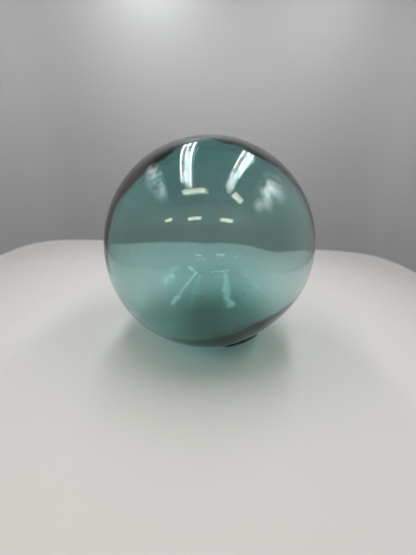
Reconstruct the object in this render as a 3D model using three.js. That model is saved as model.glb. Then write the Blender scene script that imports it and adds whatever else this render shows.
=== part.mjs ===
// A large hand-blown glass fishing float, lying loose: a sea-green glass ball and the button of
// glass that closed the hole left by its blowpipe. The button is turned down and to the front,
// just clear of the ground. The ball is sealed, so both pieces are solid here.
//
// Millimetres, +Z up. The origin is the middle of the flat spot that the ball rests on.

import * as THREE from "three";
import { mergeVertices } from "three/addons/utils/BufferGeometryUtils.js";

// Driving dimensions

const ballDiameter = 305; // a 12-inch float
const restSpotDiameter = 22; // the small flat spot that keeps the ball from rolling

const sealDiameter = 68; // the button of glass over the blowpipe hole
const sealThickness = 5; // how far its face stands out from the ball
const sealDish = 1.1; // how far its middle is sunk by the press of the paddle
const sealDishReach = 0.7; // how far out the sunk part goes, as a share of the button's radius
const sealNickDepth = 0.07; // the nick in its edge where the gather was cut off, as such a share
const sealNickBearing = 118; // degrees round the button to that nick
const sealTilt = 26.5; // degrees between straight down and the button
const sealHeading = -39; // degrees from +X, seen from above: front right
const sealGap = 0.3; // clearance between the button and the ball

// The glass sagged as it cooled: each swell raises or sinks the surface around one direction.
const swells = [
  // flat shoulder to the right of the button
  { toward: new THREE.Vector3(0.62, -0.47, -0.63), height: -3.4, spread: 24 },
  // fuller belly on the other side
  { toward: new THREE.Vector3(-0.62, -0.47, -0.63), height: 2.0, spread: 28 },
];
const swellsStart = 6; // degrees off straight down where the swells begin,
const swellsFull = 24; // and where they have their full height

// Fineness of the meshes

const ballSegments = 68; // around the ball
const ballRings = 36; // from the rest spot to the top
const sealSegments = 56; // around the button
const sealFaceRings = 12; // over its face
const sealBackRings = 5; // over its back

const { degToRad, radToDeg, lerp, smoothstep } = THREE.MathUtils;
const zAxis = new THREE.Vector3(0, 0, 1);
const down = new THREE.Vector3(0, 0, -1);

const ballRadius = ballDiameter / 2;
const restSpotRadius = restSpotDiameter / 2;
const centreHeight = Math.sqrt(ballRadius ** 2 - restSpotRadius ** 2);

// Distance from the ball's centre to its surface in one direction (a unit vector).
function surfaceRadius(direction) {
  const offDown = radToDeg(direction.angleTo(down));
  const share = smoothstep(offDown, swellsStart, swellsFull);
  let radius = ballRadius;
  for (const { toward, height, spread } of swells) {
    const spreadsAway = direction.angleTo(toward) / degToRad(spread);
    radius += share * height * Math.exp(-(spreadsAway ** 2));
  }
  return radius;
}

// A lathe turned about +Z, with only shared positions left, so that its vertices can be moved.
function turnedSolid(profile, segments) {
  const solid = new THREE.LatheGeometry(profile, segments);
  solid.rotateX(Math.PI / 2);
  solid.deleteAttribute("normal");
  solid.deleteAttribute("uv");
  return mergeVertices(solid, 1e-3);
}

// Moves every vertex of a solid to where the function sends it.
function reshape(solid, move) {
  const points = solid.attributes.position;
  const point = new THREE.Vector3();
  for (let i = 0; i < points.count; i++) {
    point.fromBufferAttribute(points, i);
    move(point);
    points.setXYZ(i, point.x, point.y, point.z);
  }
  solid.computeVertexNormals();
  return solid;
}

// The ball, about its own centre: a flat spot below, then an arc up to the top.
function ballGeometry() {
  const spotEdge = Math.asin(restSpotRadius / ballRadius);
  const profile = [new THREE.Vector2(0, -centreHeight)];
  for (let ring = 0; ring < ballRings; ring++) {
    const offDown = lerp(spotEdge, Math.PI, ring / ballRings);
    const out = ballRadius * Math.sin(offDown);
    profile.push(new THREE.Vector2(out, -ballRadius * Math.cos(offDown)));
  }
  profile.push(new THREE.Vector2(0, ballRadius));

  return reshape(turnedSolid(profile, ballSegments), (point) => {
    const reach = point.length();
    const direction = point.clone().divideScalar(reach);
    point.setLength(reach + surfaceRadius(direction) - ballRadius);
  });
}

// Reach of the button's edge at one bearing, as a share of its nominal radius: a little
// lobed, with the nick where the gather of glass was cut from its iron.
function sealOutline(bearing) {
  const lobes = 0.035 * Math.cos(2 * bearing + 0.6) + 0.03 * Math.cos(3 * bearing - 1.1);
  const pastNick = Math.sin((bearing - degToRad(sealNickBearing)) / 2);
  return 1 + lobes - sealNickDepth * Math.exp(-((pastNick / 0.09) ** 2));
}

// Thickness round the button's edge, as a share of its nominal thickness: soft folds.
function sealFold(bearing) {
  return 1 + 0.09 * Math.sin(5 * bearing) + 0.05 * Math.sin(8 * bearing + 1);
}

// The button, about the ball's centre with its own axis on +Z: turned first as a disc of
// radius 1 and height 1, then bent onto the ball at its true size.
function sealGeometry(toBall) {
  const profile = [];
  for (let ring = 0; ring <= sealBackRings; ring++) {
    profile.push(new THREE.Vector2(ring / sealBackRings, 0));
  }
  for (let ring = 1; ring < sealFaceRings; ring++) {
    const climb = ((Math.PI / 2) * ring) / sealFaceRings;
    profile.push(new THREE.Vector2(Math.cos(climb) ** 0.55, Math.sin(climb)));
  }
  profile.push(new THREE.Vector2(0, 1));

  const halfAngle = Math.asin(sealDiameter / 2 / ballRadius);
  return reshape(turnedSolid(profile, sealSegments), (point) => {
    const reach = Math.hypot(point.x, point.y);
    const bearing = Math.atan2(point.y, point.x);
    const offAxis = halfAngle * sealOutline(bearing) * reach;
    const direction = new THREE.Vector3(Math.sin(offAxis), 0, Math.cos(offAxis));
    direction.applyAxisAngle(zAxis, bearing);

    const back = surfaceRadius(direction.clone().applyQuaternion(toBall)) + sealGap;
    const folded = sealThickness * lerp(1, sealFold(bearing), reach ** 2);
    const dished = sealDish * Math.max(0, 1 - (reach / sealDishReach) ** 2);
    point.copy(direction.multiplyScalar(back + point.z * (folded - dished)));
  });
}

function glass(color) {
  return new THREE.MeshStandardMaterial({
    color,
    roughness: 0.06,
    metalness: 0,
    transparent: true,
    opacity: 0.65,
  });
}

const glassFloat = new THREE.Group();
glassFloat.name = "glass_float";

const ball = new THREE.Mesh(ballGeometry(), glass(0x7db3a8));
ball.name = "glass_ball";
ball.position.z = centreHeight;
glassFloat.add(ball);

const tilt = degToRad(sealTilt);
const heading = degToRad(sealHeading);
const sealAxis = new THREE.Vector3(
  Math.sin(tilt) * Math.cos(heading),
  Math.sin(tilt) * Math.sin(heading),
  -Math.cos(tilt),
);
const sealTurn = new THREE.Quaternion().setFromUnitVectors(zAxis, sealAxis);

const seal = new THREE.Mesh(sealGeometry(sealTurn), glass(0x4d8f84));
seal.name = "seal_button";
seal.position.z = centreHeight;
seal.quaternion.copy(sealTurn);
glassFloat.add(seal);

export default glassFloat;
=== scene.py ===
# %% [markdown]
# # A blown glass fishing float
#
# A net float is a bubble of sea-green bottle glass as big as a football. The blower gathers
# glass on an iron, blows it, cracks it off, and closes the hole with a second gather: the seal
# button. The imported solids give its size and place. This lesson gives it what glass needs to
# look like glass: a real wall with air inside, absorption that darkens with depth, and the
# small faults of hand work.

# %% Load the fixed frame
import math
import random

import bmesh
import bpy
from mathutils import Euler, Matrix, Vector, noise


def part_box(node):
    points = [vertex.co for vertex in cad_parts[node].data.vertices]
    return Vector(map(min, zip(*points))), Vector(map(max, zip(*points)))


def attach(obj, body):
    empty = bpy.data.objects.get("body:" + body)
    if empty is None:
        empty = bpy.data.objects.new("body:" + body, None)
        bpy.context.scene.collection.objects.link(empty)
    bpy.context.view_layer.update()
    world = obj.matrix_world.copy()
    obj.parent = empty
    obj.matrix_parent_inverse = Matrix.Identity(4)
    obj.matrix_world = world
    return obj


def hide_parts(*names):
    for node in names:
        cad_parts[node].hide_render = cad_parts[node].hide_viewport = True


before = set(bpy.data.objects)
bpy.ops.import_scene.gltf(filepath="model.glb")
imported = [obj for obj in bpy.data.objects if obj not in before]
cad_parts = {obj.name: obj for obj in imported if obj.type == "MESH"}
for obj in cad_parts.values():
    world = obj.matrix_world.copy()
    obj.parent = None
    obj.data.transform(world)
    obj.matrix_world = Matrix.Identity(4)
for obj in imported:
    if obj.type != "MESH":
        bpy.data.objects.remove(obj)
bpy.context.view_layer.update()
print("solids:", sorted(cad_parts))

# %% [markdown]
# ## The blow axis
#
# Everything about a blown float follows one axis: from the seal, where the iron was, through
# the middle to the far end. The float came to rest with its seal down and to the front right,
# so that axis leans. Sizes are in metres, angles in degrees.

# %% Sizes of the ball and its seal
ball_low, ball_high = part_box("glass_ball")
BALL_RADIUS = 0.1525
BALL_CENTRE = Vector((0, 0, ball_high.z - BALL_RADIUS))
DOWN = Vector((0, 0, -1))
UP = Vector((0, 0, 1))

SEAL_RADIUS = 0.034
SEAL_THICKNESS = 0.005
SEAL_TILT = 26.5
SEAL_HEADING = -39


def toward(tilt, heading):
    """The direction that is tilt degrees off straight down, to the side that heading names."""
    tilt = math.radians(tilt)
    heading = math.radians(heading)
    out = math.sin(tilt)
    return Vector((out * math.cos(heading), out * math.sin(heading), -math.cos(tilt)))


SEAL_AXIS = toward(SEAL_TILT, SEAL_HEADING)
SEAL_REACH = math.degrees(math.asin(SEAL_RADIUS / BALL_RADIUS))
SEAL_TURN = UP.rotation_difference(SEAL_AXIS).to_matrix()
print("ball centre", tuple(round(v, 4) for v in BALL_CENTRE))
print("the seal reaches", round(SEAL_REACH, 1), "degrees off its axis")

# %% [markdown]
# ## The outer shape
#
# The surface is a sphere with two soft swells, where the hot glass sagged, and a finer unrest
# that a hand leaves. The rest spot stays flat. One function gives the distance from the
# centre to the surface in any direction, so the ball, its wall and its seal all agree.

# %% The surface as a distance in each direction
SWELLS = (
    # the middle of each swell, its height, how many degrees it spreads
    (Vector((0.62, -0.47, -0.63)), -0.0034, 24),
    (Vector((-0.62, -0.47, -0.63)), 0.0020, 28),
)
SWELLS_START, SWELLS_FULL = 6, 24  # degrees off straight down
UNREST = 0.00025
UNREST_SCALE = 3.1


def smooth_step(value, start, end):
    """A soft climb from 0 at the start to 1 at the end."""
    share = min(1, max(0, (value - start) / (end - start)))
    return share * share * (3 - 2 * share)


def hump(direction, middle, height, spread):
    """How high one soft hump, or hollow, is in this direction."""
    away = math.degrees(direction.angle(middle)) / spread
    return height * math.exp(-away * away)


def surface(direction):
    """Distance from the ball's centre to its surface in one direction."""
    off_down = math.degrees(direction.angle(DOWN))
    share = smooth_step(off_down, SWELLS_START, SWELLS_FULL)
    radius = BALL_RADIUS + share * UNREST * noise.noise(direction * UNREST_SCALE)
    for swell in SWELLS:
        radius += share * hump(direction, *swell)
    near_rest_spot = off_down < 10
    return min(radius, BALL_CENTRE.z / -direction.z) if near_rest_spot else radius


print("radius to the front:", round(surface(Vector((0, -1, 0))) * 1000, 2), "mm")

# %% [markdown]
# ## The wall
#
# A blown wall is never even. Glass collects at the far end, where the bubble was fed, and round
# the seal; the flank between them is blown thin. The wall's thickness makes the dark bands at
# the rim, because light that enters inside the wall's width can't get into the air beyond it.
# Where the glass is thick it also has cords, small waves left from stirring and gathering.

# %% Thickness of the wall in each direction
FLANK_WALL = 0.00225
GATHERED = (
    # the middle of each spot, how much it adds, how many degrees it spreads
    (toward(158, 130), 0.0050, 60),
    (toward(137, -167), 0.0020, 20),
    (toward(154, -11), 0.0018, 15),
    (toward(176, -109), -0.0008, 13),
    (toward(88, -19), -0.0014, 45),
    (toward(58, 90), 0.0024, 36),
    (toward(78, -95), 0.0022, 30),
    (toward(95, 40), 0.0026, 20),
    (toward(103, -165), 0.0040, 7),
    (toward(0, 0), 0.0030, 26),
    (toward(20, 60), 0.0060, 28),
    (toward(31, -50), 0.0066, 24),
    (toward(45, -43), 0.0017, 13),
)
DRIFT, DRIFT_SCALE = 0.0006, 2.3
CORDS, CORDS_SCALE = 0.00018, 12
CORDS_IN_THIN_GLASS = 0.15
CORDS_START, CORDS_FULL = 0.001, 0.005  # thickness added by the spots


def wall(direction):
    """Thickness of the glass in one direction."""
    gathered = sum(hump(direction, *spot) for spot in GATHERED)
    drift = DRIFT * noise.noise(direction * DRIFT_SCALE + Vector((1, 7, 2)))
    cords = CORDS * noise.noise(direction * CORDS_SCALE + Vector((4, 0, 9)))
    cords *= CORDS_IN_THIN_GLASS + smooth_step(gathered, CORDS_START, CORDS_FULL)
    return FLANK_WALL + gathered + drift + cords


for name, direction in (("right", Vector((1, 0, 0))), ("top", UP), ("seal", SEAL_AXIS)):
    print("wall at the", name, round(wall(direction) * 1000, 1), "mm")

# %% [markdown]
# ## Turning the skins
#
# Both skins are turned like work on a lathe: a half-circle profile spun about the blow axis.
# The seal is fused to the ball, one body of glass, so its step is part of the outer profile; a
# gap there would show as a mirror. After the turn each point is moved to its true place.

# %% A turned skin
OUTER_STEPS = 320
INNER_STEPS = 220


def turned(profile, steps):
    """A skin turned about +Z from points given as (distance out, height)."""
    skin = bmesh.new()
    verts = [skin.verts.new((out, 0, height)) for out, height in profile]
    edges = [skin.edges.new(pair) for pair in zip(verts, verts[1:])]
    bmesh.ops.spin(
        skin,
        geom=verts + edges,
        cent=(0, 0, 0),
        axis=UP,
        angle=2 * math.pi,
        steps=steps,
        use_merge=True,
    )
    bmesh.ops.remove_doubles(skin, verts=skin.verts, dist=1e-6)
    bmesh.ops.recalc_face_normals(skin, faces=skin.faces)
    return skin


def turned_ball(profile, steps):
    """The same for (angle off the seal in degrees, rise) pairs, about a ball of radius 1."""
    points = []
    for angle, rise in profile:
        turn = math.radians(angle)
        points.append(((1 + rise) * math.sin(turn), (1 + rise) * math.cos(turn)))
    return turned(points, steps)


print("outer skin in", OUTER_STEPS, "steps, inner skin in", INNER_STEPS)

# %% The outer profile, with the seal's step
EDGE_POINTS = 26
EDGE_ROUNDNESS = 0.55  # below 1 gives a flat face and a rolled edge
OUTER_ROWS = 108
seal_profile = []
for point in range(EDGE_POINTS + 1):
    climb = math.pi / 2 * (1 - point / EDGE_POINTS)
    reach = math.cos(climb) ** EDGE_ROUNDNESS if point else 0
    seal_profile.append((SEAL_REACH * reach, math.sin(climb)))
# Close rows beside the seal's edge, then even rows to the far end
outside = [SEAL_REACH * share for share in (1.012, 1.03, 1.06, 1.1, 1.16, 1.24, 1.36, 1.5)]
last = outside[-1]
outside += [last + (180 - last) * row / OUTER_ROWS for row in range(1, OUTER_ROWS + 1)]
outer = turned_ball(seal_profile + [(angle, 0) for angle in outside], OUTER_STEPS)
print("outer skin:", len(outer.faces), "faces")

# %% [markdown]
# ## The seal button
#
# The second gather was pressed with a paddle while soft: a flat, faintly dished face, a round
# rolled edge that is a little lobed, soft folds round it, and one nick where the shears cut the
# gather off. Its face is bare.

# %% Shape the seal's edge, folds and face
SEAL_DISH = 0.0011
DISH_REACH = 0.7  # as a share of the seal's radius
CREASE, CREASE_SCALE = 0.0008, 42
NICK_BEARING, NICK_DEPTH, NICK_WIDTH = 118, 0.07, 0.09


def seal_outline(bearing):
    """Reach of the seal's edge at one bearing, as a share of its radius."""
    lobes = 0.035 * math.cos(2 * bearing + 0.6) + 0.03 * math.cos(3 * bearing - 1.1)
    past_nick = math.sin((bearing - math.radians(NICK_BEARING)) / 2)
    return 1 + lobes - NICK_DEPTH * math.exp(-((past_nick / NICK_WIDTH) ** 2))


def seal_fold(bearing):
    """Thickness at the seal's edge at one bearing, as a share of its thickness."""
    return 1 + 0.09 * math.sin(5 * bearing) + 0.05 * math.sin(8 * bearing + 1)


def place_outer(point):
    """Where a point of the turned outer profile really lies, from its angle and height."""
    height = point.length - 1
    bearing = math.atan2(point.y, point.x)
    angle = math.degrees(point.angle(UP))
    reach = angle / SEAL_REACH
    spread = 1 + (seal_outline(bearing) - 1) * (1 - smooth_step(reach, 1, 2.2))
    turn = math.radians(angle * spread)
    out = math.sin(turn)
    local = Vector((out * math.cos(bearing), out * math.sin(bearing), math.cos(turn)))
    direction = SEAL_TURN @ local
    folded = 1 + (seal_fold(bearing) - 1) * min(1, reach) ** 2
    dished = SEAL_DISH * max(0, 1 - (reach / DISH_REACH) ** 2)
    crease = CREASE * noise.noise(local * CREASE_SCALE) * (1 - smooth_step(reach, 0.9, 1.4))
    raised = max(0, height) * (SEAL_THICKNESS * folded - dished)
    return BALL_CENTRE + direction * (surface(direction) + raised + crease)


RIM_HALF_WIDTH = 0.035  # radians to either side of the seal's edge


def off_rim(vert):
    """How far a point lies from the seal's edge, in radians."""
    return abs((vert.co - BALL_CENTRE).angle(SEAL_AXIS) - math.radians(SEAL_REACH))


for vert in outer.verts:
    vert.co = place_outer(vert.co)
rim = [vert for vert in outer.verts if off_rim(vert) < RIM_HALF_WIDTH]
all_ways = {"use_axis_x": True, "use_axis_y": True, "use_axis_z": True}
for smoothing in range(3):
    bmesh.ops.smooth_vert(outer, verts=rim, factor=0.5, **all_ways)
print("rim points smoothed:", len(rim))
print("lowest point:", round(min(vert.co.z for vert in outer.verts) * 1000, 3), "mm")

# %% The inner skin: the same surface, one wall further in, facing the air
INNER_ROWS = 110
half_circle = [(180 * row / INNER_ROWS, 0) for row in range(INNER_ROWS + 1)]
inner = turned_ball(half_circle, INNER_STEPS)
for vert in inner.verts:
    direction = (SEAL_TURN @ vert.co).normalized()
    vert.co = BALL_CENTRE + direction * (surface(direction) - wall(direction))
bmesh.ops.reverse_faces(inner, faces=inner.faces)
print("inner skin:", len(inner.faces), "faces")

# %% [markdown]
# ## Seeds
#
# Old bottle glass is full of seeds: tiny bubbles of gas, drawn longer along the blow. Each one
# is a small air space inside the wall, so its faces look inwards, as the cavity's do.

# %% Scatter the seeds inside the wall
SMALL_SEEDS = 130
SMALL_SIZES = (0.00022, 0.0003, 0.0003, 0.00045, 0.0006)
LARGE_SIZE = 0.0009
LARGE_SEEDS = (
    toward(71, -141),
    toward(82, -92),
    toward(83, -74),
    toward(97, -128),
    toward(88, 60),
    toward(112, 150),
)
chance = random.Random(12)
seeds = bmesh.new()


def add_seed(direction, size, stretch):
    """One bubble, drawn out along the blow and flattened where the wall is thin."""
    thickness = wall(direction)
    depth = thickness * chance.uniform(0.4, 0.6)
    along = SEAL_AXIS.cross(direction).cross(direction).normalized()
    flat = Matrix.Scale(min(1, thickness * 0.25 / size), 4, direction)
    place = Matrix.Translation(BALL_CENTRE + direction * (surface(direction) - depth))
    shape = flat @ Matrix.Scale(stretch, 4, along)
    bmesh.ops.create_icosphere(seeds, subdivisions=2, radius=size, matrix=place @ shape)


for direction in LARGE_SEEDS:
    add_seed(direction, LARGE_SIZE, 1.3)
for count in range(SMALL_SEEDS):
    direction = Vector([chance.gauss(0, 1) for axis in range(3)]).normalized()
    add_seed(direction, chance.choice(SMALL_SIZES), chance.uniform(1.0, 2.2))
bmesh.ops.recalc_face_normals(seeds, faces=seeds.faces)
bmesh.ops.reverse_faces(seeds, faces=seeds.faces)
print("seeds:", SMALL_SEEDS + len(LARGE_SEEDS))

# %% [markdown]
# ## One body of glass
#
# The three meshes become one object, because glass that is one body has to be one closed
# surface set: light goes in through the outer skin and comes out of the inner one, and a seed
# is only a hole in between. The signed volume of the whole is then the glass alone, without
# the air, which gives the real float's weight.

# %% Join the skins and the seeds
GLASS_DENSITY = 2500  # kilograms per cubic metre
body = bmesh.new()
for skin in (outer, inner, seeds):
    carrier = bpy.data.meshes.new("carrier")
    skin.to_mesh(carrier)
    skin.free()
    body.from_mesh(carrier)
    bpy.data.meshes.remove(carrier)
for face in body.faces:
    face.smooth = True
glass_volume = body.calc_volume(signed=True)
glass_mesh = bpy.data.meshes.new("float_glass")
body.to_mesh(glass_mesh)
body.free()
float_glass = bpy.data.objects.new("float_glass", glass_mesh)
bpy.context.scene.collection.objects.link(float_glass)
print("glass:", round(glass_volume * 1000, 3), "litres")
print("weight:", round(glass_volume * GLASS_DENSITY, 2), "kg")
print("triangles:", sum(len(p.vertices) - 2 for p in glass_mesh.polygons))

# %% [markdown]
# ## Writing a shader as sums
#
# Shader maths reads best as Python. A Wire holds one output socket, and adding or multiplying
# wires adds the Math nodes. Every other node comes from the one method `node`.

# %% A wire that can be added and multiplied


class Wire:
    """One output socket of a node."""

    def __init__(self, recipe, socket):
        self.recipe = recipe
        self.socket = socket

    def math(self, operation, *others):
        values = dict(enumerate((self,) + others))
        return self.recipe.node("ShaderNodeMath", {"operation": operation}, values)

    def __add__(self, other):
        return self.math("ADD", other)

    __radd__ = __add__

    def __mul__(self, other):
        return self.math("MULTIPLY", other)

    __rmul__ = __mul__

    def __sub__(self, other):
        return self.math("SUBTRACT", other)

    def __rsub__(self, other):
        return (self * -1) + other


class Recipe:
    """A material's node tree, filled one node at a time."""

    def __init__(self, name):
        self.material = bpy.data.materials.new(name)
        self.material.use_nodes = True
        self.tree = self.material.node_tree
        self.tree.nodes.clear()

    def node(self, kind, settings=None, values=None, output=0):
        made = self.tree.nodes.new(kind)
        for name, value in (settings or {}).items():
            if name == "stops":
                for stop, (place, colour) in zip(made.color_ramp.elements, value):
                    stop.position = place
                    stop.color = colour
            else:
                setattr(made, name, value)
        for name, value in (values or {}).items():
            if isinstance(value, Wire):
                self.tree.links.new(value.socket, made.inputs[name])
            else:
                made.inputs[name].default_value = value
        return Wire(self, made.outputs[output]) if made.outputs else made

    def noise(self, place, scale, detail):
        values = {"Vector": place, "Scale": scale, "Detail": detail}
        return self.node("ShaderNodeTexNoise", None, values)

    def ranged(self, value, low, high):
        """A value that climbs from 0 at the low end of its range to 1 at the high end."""
        values = {"Value": value, "From Min": low, "From Max": high}
        return self.node("ShaderNodeMapRange", None, values)


print("shader helpers ready")

# %% [markdown]
# ## Sea-green glass
#
# The colour of bottle glass is in its depth, not on its skin: iron in the sand takes red first.
# So the surface is clear and colourless, and a Volume Absorption inside the wall takes the
# light away millimetre by millimetre. The skin adds ripples from the blowing and light wear.

# %% The glass material
GLASS_IOR = 1.52
ABSORBED_PER_METRE = (138, 64, 72)  # red, green, blue
ABSORPTION_DENSITY = 170
RIPPLE_DEPTH = 0.0004


def sea_green_glass():
    recipe = Recipe("sea_green_glass")
    place = recipe.node("ShaderNodeTexCoord", output=3)
    centred = recipe.node(
        "ShaderNodeMapping",
        {"vector_type": "POINT"},
        {"Vector": place, "Location": -BALL_CENTRE},
    )
    ripple = recipe.noise(centred, 26.0, 1.0)
    cords = recipe.noise(centred, 90.0, 2.0)
    wear = recipe.noise(centred, 240.0, 4.0)
    scuffed = (wear - 0.62).math("MAXIMUM", 0.0) * 0.25
    relief = ripple * 0.8 + cords * 0.06
    bumped = recipe.node(
        "ShaderNodeBump",
        None,
        {"Height": relief, "Strength": 1.0, "Distance": RIPPLE_DEPTH},
    )
    skin = recipe.node(
        "ShaderNodeBsdfPrincipled",
        None,
        {
            "Base Color": (1, 1, 1, 1),
            "Transmission Weight": 1.0,
            "IOR": GLASS_IOR,
            "Roughness": scuffed,
            "Normal": bumped,
        },
    )
    left = [1 - taken / ABSORPTION_DENSITY for taken in ABSORBED_PER_METRE]
    depth = recipe.node(
        "ShaderNodeVolumeAbsorption",
        None,
        {"Color": (*left, 1), "Density": ABSORPTION_DENSITY},
    )
    recipe.node("ShaderNodeOutputMaterial", None, {"Surface": skin, "Volume": depth})
    return recipe.material


float_glass.data.materials.append(sea_green_glass())
print("glass material:", float_glass.data.materials[0].name)

# %% [markdown]
# ## In place of the solids
#
# The ball and the seal are one body of real glass, so this one piece stands for both packed
# solids. It belongs to the only body that the float has.

# %% The glass stands for both solids
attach(float_glass, "root")
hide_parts("glass_ball", "seal_button")
print(float_glass.name, "replaces glass_ball and seal_button")

# %% [markdown]
# ## The stage
#
# Glass shows what is around it, so the stage matters as much as the glass. A pale room with
# rounded corners stands close about the float. Its floor is paler than the foot of its walls,
# and that line shows through the ball from every side. The floor lies a hair below the ball, so
# that light gets in between them.

# %% A pale studio room
ROOM_HALF = 3.7 * BALL_RADIUS
ROOM_HEIGHT = 0.86
ROOM_STEPS = 192
SQUARENESS = 8  # 2 would leave the room round
COVE = 0.008
FLOOR_DROP = 0.0003
FLOOR_TONE = (0.62, 0.60, 0.59, 1)
# The wall's tones, darker at its foot and lighter at its top, are painted light from the lamps
# overhead.
WALL_TONES = ((0.0, (0.31, 0.31, 0.316, 1)), (1.0, (0.40, 0.40, 0.40, 1)))


def stage_piece(name, shape, material):
    """A smooth object of the stage, which isn't part of the float."""
    for face in shape.faces:
        face.smooth = True
    mesh = bpy.data.meshes.new(name)
    shape.to_mesh(mesh)
    shape.free()
    piece = bpy.data.objects.new(name, mesh)
    bpy.context.scene.collection.objects.link(piece)
    piece.data.materials.append(material)
    return piece


def room_paint():
    """A pale floor and a wall with painted light: its paint gets lighter with height, as the
    lamps above would light its top more.
    """
    recipe = Recipe("room_paint")
    place = recipe.node("ShaderNodeTexCoord", output=3)
    height = recipe.node("ShaderNodeSeparateXYZ", None, {"Vector": place}, output=2)
    up_wall = recipe.ranged(height, 0.0, 0.62)
    # Painted light: the wall's paint lightens from its foot to its top.
    wall_painted_light = recipe.node("ShaderNodeValToRGB", {"stops": WALL_TONES}, {"Fac": up_wall})
    off_floor = recipe.ranged(height, 0.0, 0.006)
    paint = recipe.node(
        "ShaderNodeMix",
        {"data_type": "RGBA"},
        {0: off_floor, 6: FLOOR_TONE, 7: wall_painted_light},
        output=2,
    )
    matt = recipe.node("ShaderNodeBsdfPrincipled", None, {"Base Color": paint, "Roughness": 0.9})
    recipe.node("ShaderNodeOutputMaterial", None, {"Surface": matt})
    return recipe.material


room_profile = [(0, 0), (ROOM_HALF - 0.06, 0)]
for step in range(7):
    climb = math.radians(90 * step / 6)
    out = ROOM_HALF - COVE * (1 - math.sin(climb))
    room_profile.append((out, COVE * (1 - math.cos(climb))))
room_profile += [(ROOM_HALF, 0.05), (ROOM_HALF, ROOM_HEIGHT)]
room = turned(room_profile, ROOM_STEPS)
for vert in room.verts:
    side = Vector((vert.co.x, vert.co.y, 0))
    if side.length > 0:
        side.normalize()
        squared = (side.x ** SQUARENESS + side.y ** SQUARENESS) ** (-1 / SQUARENESS)
        vert.co = (vert.co.x * squared, vert.co.y * squared, vert.co.z - FLOOR_DROP)
    else:
        vert.co.z -= FLOOR_DROP
bmesh.ops.reverse_faces(room, faces=room.faces)
stage_piece("studio_room", room, room_paint())
print("room:", round(2 * ROOM_HALF, 3), "m wide")

# %% [markdown]
# ## Light
#
# Two bars of small lamps hang over the float. Their rows show on its shoulder, and once more,
# upside down, where the far wall of the bubble turns them over. The lamps are small plates that
# glow, because a lamp that is to be seen in glass needs a shape.

# %% Two bars of small lamps
LAMP_SIZE = (0.022, 0.0028)
LAMP_PITCH = 0.056
LAMP_ROWS = 3
ROW_SPACING = 0.040
LAMP_COLOUR = (0.96, 0.98, 1.0, 1)
LAMP_GLOW = 270


def add_plate(shape, place, turn, size):
    """A flat plate of this size, turned and put in its place."""
    spot = Matrix.Translation(place) @ turn @ Matrix.Diagonal((*size, 1, 1))
    bmesh.ops.create_grid(shape, x_segments=1, y_segments=1, size=0.5, matrix=spot)


def lamp_glow(name):
    recipe = Recipe(name)
    values = {"Color": LAMP_COLOUR, "Strength": LAMP_GLOW}
    glow = recipe.node("ShaderNodeEmission", None, values)
    recipe.node("ShaderNodeOutputMaterial", None, {"Surface": glow})
    return recipe.material


def lamp_bar(name, far_end, near_end):
    """Rows of short, thin lamps between two ends of a bar."""
    bar = bmesh.new()
    run = near_end - far_end
    across = UP.cross(run).normalized() * ROW_SPACING
    turn = Matrix.Rotation(math.atan2(run.y, run.x), 4, "Z")
    lamps = round(run.length / LAMP_PITCH)
    for row in range(LAMP_ROWS):
        for lamp in range(lamps):
            along = run * ((lamp + 0.5) / lamps)
            place = far_end + along + across * (row - (LAMP_ROWS - 1) / 2)
            add_plate(bar, place, turn, LAMP_SIZE)
    print(name, "has", LAMP_ROWS * lamps, "lamps")
    return stage_piece(name, bar, lamp_glow(name))


lamp_bar("left_bar", Vector((-0.175, 0.54, 0.80)), Vector((-0.245, -0.27, 0.80)))
lamp_bar("right_bar", Vector((0.285, 0.42, 0.80)), Vector((0.17, -0.31, 0.80)))

# %% [markdown]
# ## Reflectors
#
# A crumpled silver reflector at each side lays a cloudy glow on each cheek of the ball. Each is
# one plate whose glow is a noise that fades to nothing before the edge. It is see-through where
# it doesn't glow, so that its outline never shows, and only the glass gets to see it.

# %% Two silver reflectors
REFLECTOR_GLOW = 6.5
CLOUD_SCALE, CLOUD_DETAIL = 8.0, 3.0


def reflector(name, place, size, lean):
    """A soft-edged, cloudy glow on a plate that leans this many degrees to face the float."""
    recipe = Recipe(name)
    coords = recipe.node("ShaderNodeTexCoord", output=3)
    clouds = recipe.noise(coords, CLOUD_SCALE, CLOUD_DETAIL)
    across = recipe.node(
        "ShaderNodeMapping",
        {"vector_type": "POINT"},
        {"Vector": coords, "Location": -place},
    )
    shrink = (1 / size[0], 1 / size[0], 1 / size[1])
    share = recipe.node("ShaderNodeVectorMath", {"operation": "MULTIPLY"}, {0: across, 1: shrink})
    middle = recipe.node("ShaderNodeVectorMath", {"operation": "LENGTH"}, {0: share}, output=1)
    fading = (1 - middle * 2).math("MAXIMUM", 0.0)
    cloudy = (clouds - 0.40).math("MAXIMUM", 0.0) * 4
    strength = fading * cloudy * REFLECTOR_GLOW
    glow = recipe.node("ShaderNodeEmission", None, {"Color": (1, 1, 1, 1), "Strength": strength})
    clear = recipe.node("ShaderNodeBsdfTransparent")
    film = recipe.node("ShaderNodeAddShader", None, {0: clear, 1: glow})
    recipe.node("ShaderNodeOutputMaterial", None, {"Surface": film})
    plate = bmesh.new()
    turn = Matrix.Rotation(math.radians(lean), 4, "Y")
    add_plate(plate, place, turn, (size[1], size[0]))
    piece = stage_piece(name, plate, recipe.material)
    piece.visible_camera = False
    return piece


reflector("left_reflector", Vector((-0.53, 0.05, 0.75)), (0.80, 0.30), 90)
reflector("right_reflector", Vector((0.53, -0.05, 0.74)), (0.80, 0.44), -90)
print("reflectors at both sides")

# %% [markdown]
# ## Ceiling, skylights and windows
#
# A dim ceiling and a soft light along each bar fill the shadows. The soft lights stay out of
# plain reflections, where only the lamps should show. Two warm skylights and three windows
# leave the small warm bars in the middle of the ball.

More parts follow.
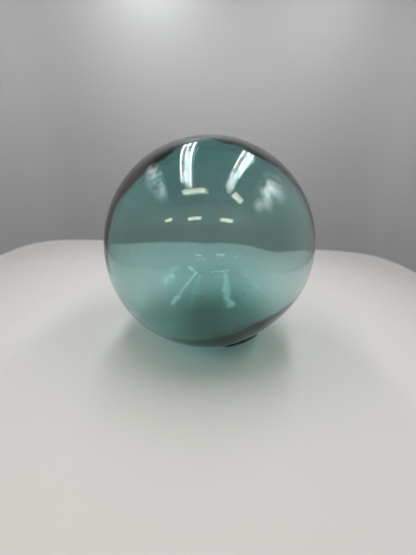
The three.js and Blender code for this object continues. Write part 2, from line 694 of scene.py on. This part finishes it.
# %% Soft lights
WINDOW_GLOW = (1.0, 0.91, 0.72)
BAR_LIGHT_SIZE, BAR_LIGHT_POWER = (0.055, 0.78), 0.95
WINDOW_SIZE, WINDOW_POWER = (0.13, 0.035), 0.12
SKY_COLOUR, SKY_STRENGTH = (0.97, 0.98, 1.0, 1), 0.10


def soft_light(name, place, size, power, colour=(1, 1, 1), turn=(0, 0, 0)):
    """A rectangle of light that faces down before it is turned."""
    lamp = bpy.data.lights.new(name, "AREA")
    lamp.shape = "RECTANGLE"
    lamp.size, lamp.size_y = size
    lamp.energy = power
    lamp.color = colour
    holder = bpy.data.objects.new(name, lamp)
    holder.location = place
    holder.rotation_euler = [math.radians(angle) for angle in turn]
    bpy.context.scene.collection.objects.link(holder)
    return holder


soft_light("ceiling", (0, 0, 0.86), (1.1, 1.1), 0.35)
for side, x, y, turn in (("left", -0.21, 0.135, -5), ("right", 0.228, 0.055, -9)):
    light = soft_light(
        f"{side}_bar_light",
        (x, y, 0.795),
        BAR_LIGHT_SIZE,
        BAR_LIGHT_POWER,
        turn=(0, 0, turn),
    )
    light.visible_glossy = False
soft_light("skylight_left", (-0.20, -0.34, 0.82), (0.26, 0.07), 0.5, WINDOW_GLOW)
soft_light("skylight_right", (0.31, -0.40, 0.82), (0.17, 0.08), 0.35, WINDOW_GLOW, (0, 0, -30))
for number, (x, y) in enumerate(((-0.46, -0.49), (-0.16, -0.53), (0.15, -0.53))):
    name = f"window_{number}"
    soft_light(name, (x, y, 0.53), WINDOW_SIZE, WINDOW_POWER, WINDOW_GLOW, (60, 0, 0))

sky = bpy.data.worlds.new("studio_sky")
sky.use_nodes = True
background = sky.node_tree.nodes["Background"]
background.inputs["Color"].default_value = SKY_COLOUR
background.inputs["Strength"].default_value = SKY_STRENGTH
bpy.context.scene.world = sky

# %% [markdown]
# ## The camera
#
# A wide lens stands close to the float and a little above it, looking down past it, and is
# held a few degrees out of level.

# %% Place the camera
VIEW_DOWN = 14.6
PITCH = 20.4
ROLL = 2.5
DISTANCE = 3.25 * BALL_RADIUS
FOCAL_LENGTH = 21.15  # millimetres
down = math.radians(VIEW_DOWN)
lens = bpy.data.cameras.new("camera")
lens.lens = FOCAL_LENGTH
camera = bpy.data.objects.new("camera", lens)
camera.location = BALL_CENTRE + DISTANCE * Vector((0, -math.cos(down), math.sin(down)))
tilted = Euler((math.radians(90 - PITCH), 0, 0)).to_matrix()
rolled = tilted @ Matrix.Rotation(math.radians(ROLL), 3, "Z")
camera.rotation_euler = rolled.to_euler()
bpy.context.scene.collection.objects.link(camera)
bpy.context.scene.camera = camera
print("camera", round(DISTANCE, 3), "m from the middle of the ball")

# %% [markdown]
# ## Light paths
#
# Light crosses four faces of glass on its way through the ball, and more where it bounces
# inside, so it is allowed many steps. Sharp glows stay sharp too, or the green light that the
# ball throws on the floor would be lost.

# %% Light paths and tones
scene = bpy.context.scene
scene.cycles.max_bounces = 24
scene.cycles.transmission_bounces = 24
scene.cycles.glossy_bounces = 12
scene.cycles.blur_glossy = 0
scene.view_settings.view_transform = "Standard"
print("light steps:", scene.cycles.max_bounces)
